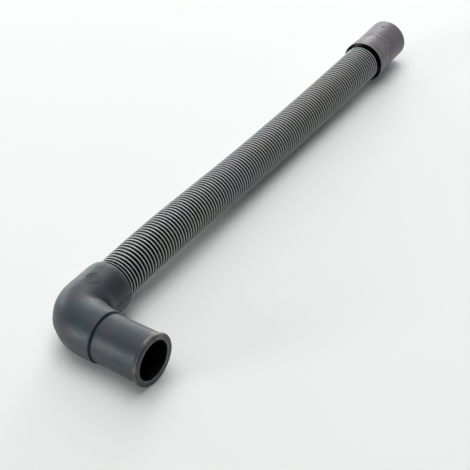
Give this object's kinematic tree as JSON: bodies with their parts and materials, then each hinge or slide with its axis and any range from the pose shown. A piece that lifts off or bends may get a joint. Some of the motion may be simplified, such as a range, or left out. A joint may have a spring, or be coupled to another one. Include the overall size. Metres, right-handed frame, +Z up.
{
  "type": "dishwasher internal drain hose",
  "caption": "Corrugated internal drain hose with a moulded right-angle elbow and beaded spigot at one end and a short straight cuff at the other.",
  "frame": {"origin": "on the surface that the hose lies on, under the middle of its bounding box", "axes": "+Z up, +X along the corrugated tube from the elbow towards the cuff, and the elbow's spigot points roughly towards -Y"},
  "size_m": [0.4748, 0.086, 0.0358],
  "materials": {
    "elbow_rubber": "satin",
    "hose_plastic": "satin",
    "cuff_rubber": "satin"
  },
  "bodies": {
    "root": {"elbow_connector": "elbow_rubber", "drain_hose": "hose_plastic", "end_cuff": "cuff_rubber"}
  },
  "joints": []
}
